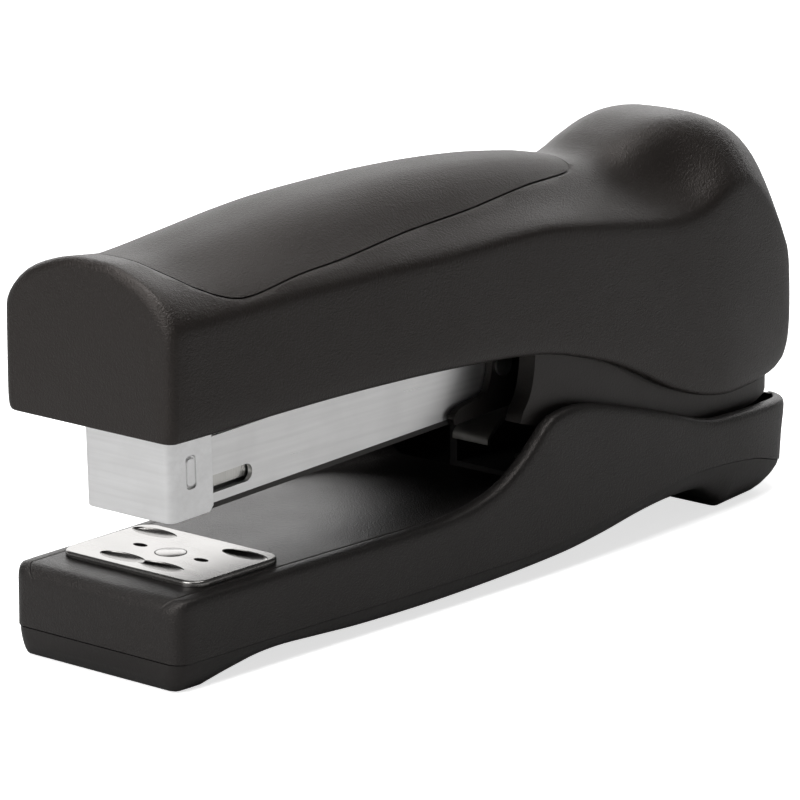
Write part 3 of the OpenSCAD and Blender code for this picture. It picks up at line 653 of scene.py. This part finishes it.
def shellSection(s):
    half = baseHalf(s)
    low = rowAt(base["seam"], s)[1]
    rim = rowAt(base["wing"], s)[1] if s > 40 else base["deck"]
    lower = roundEnd(s - base["front"], base["corner"]) + roundEnd(base["end"] - s, base["corner"])
    rim -= lower
    floor = base["deck"] - lower
    if s > base["wellFrom"]:
        # the well ends at the rear wall
        close = min(max((s - base["end"] + base["rearWall"]) / base["rearRise"], 0), 1)
        floor = base["well"] + (rim - 0.3 - base["well"]) * close
    thick = base["rim"]
    step = rim - floor
    foot = half - thick - 0.3 - min(0.34 * step, 2.4)
    side = [(half, low), (half, low + 0.5 * (rim - low)), (half, rim - 2.7), (half, rim - 1.2),
            (half - 0.3, rim - 0.2), (half - 1.2, rim), (half - thick - 0.2, rim),
            (half - thick, rim - 0.25 - 0.2 * step), (half - thick - 0.3, floor + 0.3 * step),
            (foot, floor), (foot - 1.6, floor), (foot * 0.5, floor)]
    points = side + [(0, floor)] + [(-y, z) for y, z in reversed(side)]
    last = base["count"] - 1
    return [splinePoint(points, k / last) for k in range(last + 1)]


def soleSection(s):
    half = baseHalf(s) - 0.25
    high = rowAt(base["seam"], s)[1] - 0.16
    low = max(rowAt(base["sole"], s)[1], 0.0)
    tuck = rowAt(base["tuck"], s)[1]
    tall = high - low
    side = [(half, high), (half - 0.08 * tuck, high - 0.35 * tall),
            (half - 0.4 * tuck, low + 0.25 * tall), (half - 0.8 * tuck, low),
            (half - 1.4 * tuck, low), (half * 0.5, low)]
    points = side + [(0, low)] + [(-y, z) for y, z in reversed(side)]
    last = base["count"] - 1
    return [splinePoint(points, k / last) for k in range(last + 1)]


def leanRear(obj):
    # the rear face leans outwards towards the top
    reach = base["leanOver"]
    first = base["end"] - reach
    for vert in obj.data.vertices:
        along = (vert.co.x - noseX) / mm - first
        if along > 0:
            down = max(base["deck"] - vert.co.z / mm, 0) / (base["deck"] - base["leanFoot"])
            vert.co.x -= base["lean"] * mm * down * (along / reach) ** 2


def baseStations(extra):
    wanted = stationList(base["front"], base["end"], base["corner"], base["tail"], base["step"])
    return sorted(set(wanted + extra))


def drillUp(obj, x, low, hole):
    radius, high = hole
    combine(obj, addRod("hole", radius * mm, (x, 0, low * mm), (x, 0, high * mm)), "DIFFERENCE")


def buildBase():
    edge, wall, rise = base["wellFrom"], base["end"] - base["rearWall"], base["rearRise"]
    turns = [edge, edge + 0.02, wall, wall + rise / 2, wall + rise]
    shell = loft("baseShell", baseStations(turns), shellSection, base["count"])
    anvilX = (anvilBox[0].x + anvilBox[1].x) / 2
    drillUp(shell, anvilX, 0, base["buttonHole"])
    drillUp(shell, anvilX, 0, base["postHole"])
    sole = loft("baseSole", baseStations(base["footEdges"]), soleSection, base["count"])
    drillUp(sole, anvilX, -2, base["soleHole"])
    for station in base["screws"]:
        drillUp(sole, noseX + station * mm, -2, base["screwHole"])
    for obj in (shell, sole):
        leanRear(obj)
        faceOutwards(obj)
        smooth(obj, 45)
    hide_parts("base_shell")
    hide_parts("base_sole")
    finish(shell, "base", "root")
    finish(sole, "sole", "root")
    print("base built")


anvil = {
    "corner": 2.9,
    "edge": 0.4,
    "drop": 0.18,
    "seat": 0.14,
    "bowlLong": 4.1,
    "bowlWide": 1.75,
    "bowlDeep": 0.62,
    # from the rivet: along the base, and out to each side
    "bowls": [(-6, 3.8), (6, 8.8)],
    "holes": 5.9,
    "holeHalf": (0.75, 1.25),
    # radius of each step of the rivet, and of the plate's recess for it
    "head": 2.2,
    "shank": 1.6,
    "collar": 2.4,
    "recess": 2.36,
    "recessDeep": 0.25,
    "collarThick": 0.55,
}


def bowl(x, y, z):
    bpy.ops.mesh.primitive_uv_sphere_add(segments=56, ring_count=28, radius=1, location=(x, y, z))
    obj = newPiece("bowl")
    obj.scale = (anvil["bowlWide"] * mm, anvil["bowlLong"] * mm, anvil["bowlDeep"] * mm)
    applyPlace(obj)
    return obj


def buildAnvil():
    low, high = (Vector(corner) for corner in anvilBox)
    low.z -= anvil["seat"] * mm
    high.z -= anvil["drop"] * mm
    plate = addBlock("anvilPlate", low, high)
    pickEdges(plate, lambda a, b: abs(a.z - b.z) > 0.0005)
    bpy.ops.mesh.bevel(offset=anvil["corner"] * mm, segments=8)
    bpy.ops.object.mode_set(mode="OBJECT")
    pickFaces(plate, lambda c, n: n.z > 0.9)
    bpy.ops.mesh.bevel(offset=anvil["edge"] * mm, segments=4, affect="EDGES")
    bpy.ops.object.mode_set(mode="OBJECT")
    midX, top = (low.x + high.x) / 2, high.z
    for along, out in anvil["bowls"]:
        for y in (-out, out):
            combine(plate, bowl(midX + along * mm, y * mm, top), "DIFFERENCE")
    for y in (-anvil["holes"] * mm, anvil["holes"] * mm):
        hole = addRod("hole", 1, (midX, y, low.z - mm), (midX, y, top + mm), sides=32)
        hole.scale = (*[half * mm for half in anvil["holeHalf"]], 1)
        hole.location = (midX, y, 0)
        combine(plate, hole, "DIFFERENCE")
    recess = top - anvil["recessDeep"] * mm
    hole = addRod("hole", anvil["recess"] * mm, (midX, 0, recess), (midX, 0, top + mm))
    combine(plate, hole, "DIFFERENCE")
    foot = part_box("anvil_rivet")[0].z
    collar = foot + anvil["collarThick"] * mm
    rivet = addRod("anvilRivet", anvil["head"] * mm, (midX, 0, recess), (midX, 0, top + 0.04 * mm))
    shank = addRod("shank", anvil["shank"] * mm, (midX, 0, foot), (midX, 0, top - 0.1 * mm))
    combine(rivet, shank, "UNION")
    combine(rivet, addRod("collar", anvil["collar"] * mm, (midX, 0, foot), (midX, 0, collar)), "UNION")
    softenEdges(rivet, 0.05 * mm, 2, 40)
    smooth(rivet, 40)
    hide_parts("anvil_rivet")
    finish(rivet, "nickel", "anvil")
    evenShade(plate, 40)
    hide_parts("anvil_plate")
    finish(plate, "nickel", "anvil")
    print("anvil built")


guide = {
    "length": 8.8,
    "half": 8.45,
    "height": 12.5,
    "sheet": 0.9,
    "corner": 1.5,
    "chamfer": 0.6,
    # pressed mark on each side: from and to along the magazine and upwards, its depth and round
    "mark": (3.3, 5.4, 4.4, 9.1),
    "markWide": 0.3,
    "deep": 0.3,
    "outerRound": 0.7,
    "innerRound": 0.5,
    "front": (8, 21.8),
}


def placeInMagazine(obj):
    obj.rotation_euler = (0, -tilt, 0)
    along, up = guide["front"]
    obj.location = (noseX + along * mm, 0, up * mm)
    applyPlace(obj)


def buildGuide():
    g = {key: value * mm for key, value in guide.items() if not isinstance(value, tuple)}
    first, last, bottom, upper = (value * mm for value in guide["mark"])
    wide, deep, cut = g["markWide"], g["deep"], g["chamfer"]
    wrap = addBlock("noseGuide", (0, -g["half"], 0), (g["length"], g["half"], g["height"]))
    pickEdges(wrap, lambda a, b: abs(a.z - b.z) > 0.005 and a.x < 0.001)
    bpy.ops.mesh.bevel(offset=g["corner"], segments=8)
    bpy.ops.object.mode_set(mode="OBJECT")
    pickFaces(wrap, lambda c, n: abs(n.z) > 0.9 or n.x > 0.9)
    bpy.ops.mesh.delete(type="FACE")
    bpy.ops.object.mode_set(mode="OBJECT")
    solid = wrap.modifiers.new("sheet", "SOLIDIFY")
    solid.thickness = g["sheet"]
    solid.offset = -1
    solid.use_even_offset = True
    applyModifiers(wrap)
    for side in (-1, 1):
        y = side * g["half"]
        corner = addBlock("corner", (-cut, -2 * mm, -cut), (cut, 2 * mm, cut))
        corner.rotation_euler = (0, math.pi / 4, 0)
        corner.location = (g["length"], y, 0)
        applyPlace(corner)
        combine(wrap, corner, "DIFFERENCE")
        groove = addBlock("groove", (first, y - deep, bottom), (last, y + deep, upper))
        inside = ((first + wide, y - mm, bottom + wide), (last - wide, y + mm, upper - wide))
        island = addBlock("island", *inside)
        for tool, r in ((groove, g["outerRound"]), (island, g["innerRound"])):
            pickEdges(tool, lambda a, b: abs(a.y - b.y) > 0.0004)
            bpy.ops.mesh.bevel(offset=r, segments=5)
            bpy.ops.object.mode_set(mode="OBJECT")
        combine(groove, island, "DIFFERENCE")
        combine(wrap, groove, "DIFFERENCE")
    softenEdges(wrap, 0.12 * mm, 3, 30)
    placeInMagazine(wrap)
    faceOutwards(wrap)
    evenShade(wrap, 40)
    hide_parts("nose_guide")
    finish(wrap, "guide", "magazine")
    print("nose guide built")


carrier = {
    "inner": 7.6,
    "thick": 1.2,
    # along the magazine from its front, and up from its lower edge
    "front": [(61.1, 0.1), (60.9, 1.3), (62.2, 2.3), (65.0, 2.8), (68.0, 3.1), (69.2, 4.6), (69.9, 7.0),
              (70.4, 10.5)],
    "rear": [(111.0, 10.5), (130.2, 7.1), (130.2, -0.1), (117.2, 0.8)],
    "pin": (130.21, 3.54),
    "eye": 5.0,
    "hole": 2.05,
    # low and high corner of the floor, along the magazine and upwards
    "floor": (74.6, 0.8, 115, 2.0),
    "floorIn": 0.1,
}


def buildCarrier():
    # dark holder round the rear of the magazine, with an arm on each side to the hinge
    inner, outer = carrier["inner"], carrier["inner"] + carrier["thick"]
    outline = throughPoints(carrier["front"], 5) + carrier["rear"]
    outline = [(s - noseX / mm, z) for s, z in outline]
    pinX, pinZ = carrier["pin"][0] * mm, carrier["pin"][1] * mm
    sides = prism("magazineCarrier", outline, -outer, outer)
    ends = (pinX, -outer * mm, pinZ), (pinX, outer * mm, pinZ)
    combine(sides, addRod("eye", carrier["eye"] * mm, *ends, "Y", 64), "UNION")
    combine(sides, addBlock("inside", (0, -inner * mm, -0.01), (0.14, inner * mm, 0.03)), "DIFFERENCE")
    first, bottom, last, top = (value * mm for value in carrier["floor"])
    half = (outer - carrier["floorIn"]) * mm
    combine(sides, addBlock("floor", (first, -half, bottom), (last, half, top)), "UNION")
    ends = (pinX, -0.02, pinZ), (pinX, 0.02, pinZ)
    combine(sides, addRod("hole", carrier["hole"] * mm, *ends, "Y"), "DIFFERENCE")
    softenEdges(sides, 0.25 * mm, 3, 40)
    placeInMagazine(sides)
    faceOutwards(sides)
    evenShade(sides, 40)
    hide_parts("magazine_carrier")
    finish(sides, "frame", "magazine")
    print("magazine carrier built")


innerFrame = {
    "start": 75.0,
    "end": 145.4,
    "clear": 2.3,
    "wall": 1.5,
    "front": 3.0,
    "top": 40.0,
    # station, height of the lower edge
    "edge": [(75, 24.4), (81.7, 22.4), (88.3, 21.2), (100.3, 18), (114.3, 14.9), (124.3, 14.5),
             (138, 14.9), (145.4, 17.2)],
    # everything in front of this line is open
    "mouth": [(76.2, 23.0), (76.9, 25.2), (77.9, 26.6), (78.8, 28.2), (79.4, 30.4), (79.8, 33.4),
              (80.0, 41.5)],
    # from and to along the handle, half width, underside and top
    "plate": (3.0, 133.0, 11.0, 44.5, 46.5),
    # webs between the walls and the plate, seen from the side, and their distance from the middle
    "web": [(88.5, 34), (130, 34), (126, 45.5), (88.5, 45.5)],
    "webAt": 12.6,
    "webHalf": 1.4,
    # radius and half length of the pin's hole and of the room for the bracket
    "pinRoom": [(2.05, 20), (5.4, 11.2)],
}


def frameSection(s, inset, drop):
    # upright walls, so a plain rounded box follows the cover's plan
    half = rowAt(handle["ribs"], s)[2] - innerFrame["clear"] - inset
    half -= roundEnd(innerFrame["end"] - s, 6.0)
    low = rowAt(innerFrame["edge"], s)[1] - drop
    high = innerFrame["top"] - 0.9 * max(s - 134, 0) + (1 if drop else 0)
    points = [(half, low), (half, low + 1), (half, high - 1), (half, high), (half - 1, high), (0, high)]
    points += [(-y, z) for y, z in reversed(points[:-1])]
    return [splinePoint(points, k / 40) for k in range(41)]


def frameBody(name, inset, drop, first):
    stations = stationList(first, innerFrame["end"] - inset, 0, 6.0, 2.4)
    return loft(name, stations, lambda s: frameSection(s, inset, drop), 41)


def buildFrame():
    body = frameBody("handleFrame", 0.0, 0.0, innerFrame["start"])
    combine(body, frameBody("inside", innerFrame["wall"], 6.0, 81.0), "DIFFERENCE")
    combine(body, frameBody("inside", innerFrame["front"], 6.0, 70.0), "DIFFERENCE")
    mouth = throughPoints(innerFrame["mouth"], 4) + [(70, 41.5), (70, 20)]
    combine(body, prism("mouth", mouth, -30, 30), "DIFFERENCE")
    first, last, half, low, high = innerFrame["plate"]
    plate = prism("plate", [(first, low), (last, low), (last, high), (first, high)], -half, half)
    for y in (-1, 1):
        middle, half = y * innerFrame["webAt"], innerFrame["webHalf"]
        combine(body, prism("web", innerFrame["web"], middle - half, middle + half), "UNION")
    combine(body, plate, "UNION")
    pin = frame["joints"][0]["pos_m"]
    for radius, half in innerFrame["pinRoom"]:
        ends = (pin[0], -half * mm, pin[2]), (pin[0], half * mm, pin[2])
        combine(body, addRod("pin", radius * mm, *ends, "Y", 64), "DIFFERENCE")
    faceOutwards(body)
    smooth(body, 35)
    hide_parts("handle_frame")
    finish(body, "frame", "handle")
    print("handle frame built")


leaf = {
    "width": 7.0,
    "thick": 0.6,
    "path": [(83.35, 17.1), (83.5, 18.1), (84.8, 19.2), (88.0, 21.2), (91.5, 23.6), (95.0, 24.9),
             (98.6, 23.4), (102.4, 17.0), (104.9, 12.8), (107.0, 11.3), (111.5, 11.3)],
}


def buildLeaf():
    # bent spring leaf, its free end turned down in front
    path = throughPoints(leaf["path"], 5)
    ends = [path[0]] + path + [path[-1]]
    upper, lower = [], []
    for before, here, after in zip(ends, path, ends[2:]):
        along = Vector((after[0] - before[0], after[1] - before[1])).normalized() * leaf["thick"] / 2
        upper.append((here[0] - along.y, here[1] + along.x))
        lower.append((here[0] + along.y, here[1] - along.x))
    spring = prism("liftSpring", upper + lower[::-1], -leaf["width"] / 2, leaf["width"] / 2)
    softenEdges(spring, 0.12 * mm, 2, 40)
    smooth(spring, 35)
    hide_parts("lift_spring")
    finish(spring, "spring", "root")
    print("lift spring built")


# each coil's node and body, and the joint that shortens it
coils = {
    "anvilSpring": ("anvil_spring", "root", "anvil_lift"),
    "pusherSpring": ("pusher_spring", "magazine", "pusher_slide"),
}


def buildCoils():
    # merged copies of the imported coils
    for name, (node, body, jointName) in coils.items():
        spring = bpy.data.objects.new(name, nodes[node].data.copy())
        bpy.context.scene.collection.objects.link(spring)
        faceOutwards(spring)
        smooth(spring, 70)
        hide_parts(node)
        finish(spring, "spring", body)
        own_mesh(spring)
    print("coils built")


carried = {
    "magazine_channel": "satin", "staple_rail": "satin", "guide_rod": "satin", "driver_blade": "satin",
    # the bottom strip and hinge bracket take the near-black finish, which also paints their shade
    "bottom_strip": "dark", "hinge_bracket": "dark",
    "staple_strip": "wire",
    "press_spring": "spring",
    "sole_screws": "screw", "bracket_screws": "screw", "hinge_pin": "screw", "carrier_rivets": "screw",
    "frame_screws": "screw", "driver_rivets": "screw",
    "anvil_button": "frame", "pusher": "frame", "rod_stop": "frame",
}


def dressNodes():
    for name, kind in carried.items():
        finish(nodes[name], kind, None)
    print("frame nodes dressed")


studio = {
    "lens": 245.57,
    "cameraAt": (-0.60303, -0.51077, 0.23185),
    "lookDown": 14.65,
    "lookRound": -49.35,
    "world": 0.11,
    "floorSize": 8,
    # what the floor gives back to the object, and what the camera sees of it
    "floorShade": 0.48,
    "floorSeen": 0.93,
    "floorGlow": 0.7,
    # name, place, size, power, aim
    "lights": [
        ("top", (-0.1, 0.0, 1.1), (0.8, 0.8), 12, (0, 0, 0.03)),
        ("front", (-1.0, 0.15, 0.6), (0.7, 0.7), 7, (-0.05, 0, 0.03)),
        ("back", (1.25, 1.07, 0.56), (2.6, 1.0), 18, (0, 0, 0.04)),
    ],
}


def areaLight(name, at, size, power, aim):
    data = bpy.data.lights.new(name, "AREA")
    data.shape = "RECTANGLE"
    data.size, data.size_y = size
    data.energy = power
    lamp = bpy.data.objects.new(name, data)
    bpy.context.scene.collection.objects.link(lamp)
    lamp.location = at
    lamp.rotation_euler = (Vector(aim) - Vector(at)).to_track_quat("-Z", "Y").to_euler()


def buildStage():
    bpy.ops.mesh.primitive_plane_add(size=studio["floorSize"], location=(0, 0, -0.05 * mm))
    floor = newPiece("floor")
    paper = bpy.data.materials.new("floorPaper")
    paper.use_nodes = True
    shader = paper.node_tree.nodes["Principled BSDF"]
    shader.inputs["Roughness"].default_value = 0.9
    seen = paper.node_tree.nodes.new("ShaderNodeLightPath")
    shade = paper.node_tree.nodes.new("ShaderNodeMix")
    shade.data_type = "RGBA"
    shade.inputs["A"].default_value = (*[studio["floorShade"]] * 3, 1)
    shade.inputs["B"].default_value = (*[studio["floorSeen"]] * 3, 1)
    glow = paper.node_tree.nodes.new("ShaderNodeMath")
    glow.operation = "MULTIPLY"
    glow.inputs[1].default_value = studio["floorGlow"]
    shader.inputs["Emission Color"].default_value = (1, 1, 1, 1)
    paper.node_tree.links.new(seen.outputs["Is Camera Ray"], shade.inputs["Factor"])
    paper.node_tree.links.new(shade.outputs["Result"], shader.inputs["Base Color"])
    paper.node_tree.links.new(seen.outputs["Is Camera Ray"], glow.inputs[0])
    paper.node_tree.links.new(glow.outputs[0], shader.inputs["Emission Strength"])
    floor.data.materials.append(paper)
    world = bpy.data.worlds.new("studio")
    bpy.context.scene.world = world
    world.use_nodes = True
    world.node_tree.nodes["Background"].inputs["Color"].default_value = (1, 1, 1, 1)
    world.node_tree.nodes["Background"].inputs["Strength"].default_value = studio["world"]
    for light in studio["lights"]:
        areaLight(*light)
    data = bpy.data.cameras.new("camera")
    data.lens = studio["lens"]
    data.sensor_width = 36
    data.clip_end = 20
    camera = bpy.data.objects.new("camera", data)
    bpy.context.scene.collection.objects.link(camera)
    camera.location = studio["cameraAt"]
    camera.rotation_euler = (math.radians(90 - studio["lookDown"]), 0, math.radians(studio["lookRound"]))
    bpy.context.scene.camera = camera
    bpy.context.scene.view_settings.view_transform = "Standard"
    print("stage built")


buildHandle()
buildBase()
buildAnvil()
buildGuide()
buildCarrier()
buildFrame()
buildLeaf()
buildCoils()
dressNodes()
buildStage()
